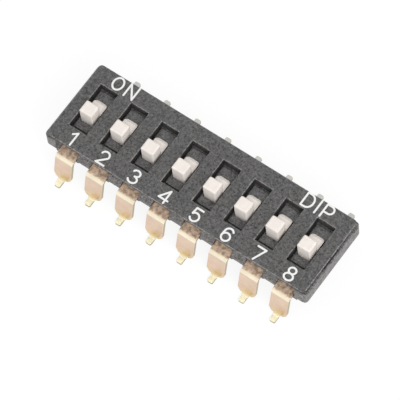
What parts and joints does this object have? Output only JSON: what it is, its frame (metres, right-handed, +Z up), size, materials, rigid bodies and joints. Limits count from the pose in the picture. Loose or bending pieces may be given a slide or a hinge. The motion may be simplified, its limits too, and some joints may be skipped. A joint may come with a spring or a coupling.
{
  "type": "slide dip switch",
  "caption": "Low rectangular slide DIP switch for surface mounting: pale raised slides in windows of a dark lid, gull-wing gold terminals along both sides.",
  "frame": {"origin": "on the plane the terminals' toes stand on, under the middle of the body, where the box's bottom centre is", "axes": "+X along the row from position 1 to the last position, +Y from the numbered side to the ON side, +Z up out of the lid"},
  "size_m": [0.0214, 0.0094, 0.0046],
  "materials": {
    "body_plastic": "semi-gloss moulded thermoplastic, dark grey",
    "lid_plastic": "fine-grained moulded thermoplastic, near black, with white printed legends",
    "slide_plastic": "off-white moulded thermoplastic, satin",
    "terminal_metal": "gold plated copper alloy sheet, smooth",
    "spring_metal": "gold plated spring bronze strip, smooth"
  },
  "bodies": {
    "housing": {"base": "body_plastic", "cover": "lid_plastic", "front_terminal_1": "terminal_metal", "front_terminal_2": "terminal_metal", "front_terminal_3": "terminal_metal", "front_terminal_4": "terminal_metal", "front_terminal_5": "terminal_metal", "front_terminal_6": "terminal_metal", "front_terminal_7": "terminal_metal", "front_terminal_8": "terminal_metal", "rear_terminal_1": "terminal_metal", "rear_terminal_2": "terminal_metal", "rear_terminal_3": "terminal_metal", "rear_terminal_4": "terminal_metal", "rear_terminal_5": "terminal_metal", "rear_terminal_6": "terminal_metal", "rear_terminal_7": "terminal_metal", "rear_terminal_8": "terminal_metal"},
    "slide_1_body": {"slide_1": "slide_plastic", "contact_spring_1": "spring_metal"},
    "slide_2_body": {"slide_2": "slide_plastic", "contact_spring_2": "spring_metal"},
    "slide_3_body": {"slide_3": "slide_plastic", "contact_spring_3": "spring_metal"},
    "slide_4_body": {"slide_4": "slide_plastic", "contact_spring_4": "spring_metal"},
    "slide_5_body": {"slide_5": "slide_plastic", "contact_spring_5": "spring_metal"},
    "slide_6_body": {"slide_6": "slide_plastic", "contact_spring_6": "spring_metal"},
    "slide_7_body": {"slide_7": "slide_plastic", "contact_spring_7": "spring_metal"},
    "slide_8_body": {"slide_8": "slide_plastic", "contact_spring_8": "spring_metal"}
  },
  "joints": [
    {"name": "slide_1_travel", "type": "slide", "parent": "housing", "child": "slide_1_body", "axis": [0, 1, 0], "range_m": [0, 0.0009]},
    {"name": "slide_2_travel", "type": "slide", "parent": "housing", "child": "slide_2_body", "axis": [0, 1, 0], "range_m": [0, 0.0009]},
    {"name": "slide_3_travel", "type": "slide", "parent": "housing", "child": "slide_3_body", "axis": [0, 1, 0], "range_m": [0, 0.0009]},
    {"name": "slide_4_travel", "type": "slide", "parent": "housing", "child": "slide_4_body", "axis": [0, 1, 0], "range_m": [0, 0.0009]},
    {"name": "slide_5_travel", "type": "slide", "parent": "housing", "child": "slide_5_body", "axis": [0, 1, 0], "range_m": [0, 0.0009]},
    {"name": "slide_6_travel", "type": "slide", "parent": "housing", "child": "slide_6_body", "axis": [0, 1, 0], "range_m": [0, 0.0009]},
    {"name": "slide_7_travel", "type": "slide", "parent": "housing", "child": "slide_7_body", "axis": [0, 1, 0], "range_m": [0, 0.0009]},
    {"name": "slide_8_travel", "type": "slide", "parent": "housing", "child": "slide_8_body", "axis": [0, 1, 0], "range_m": [0, 0.0009]}
  ]
}
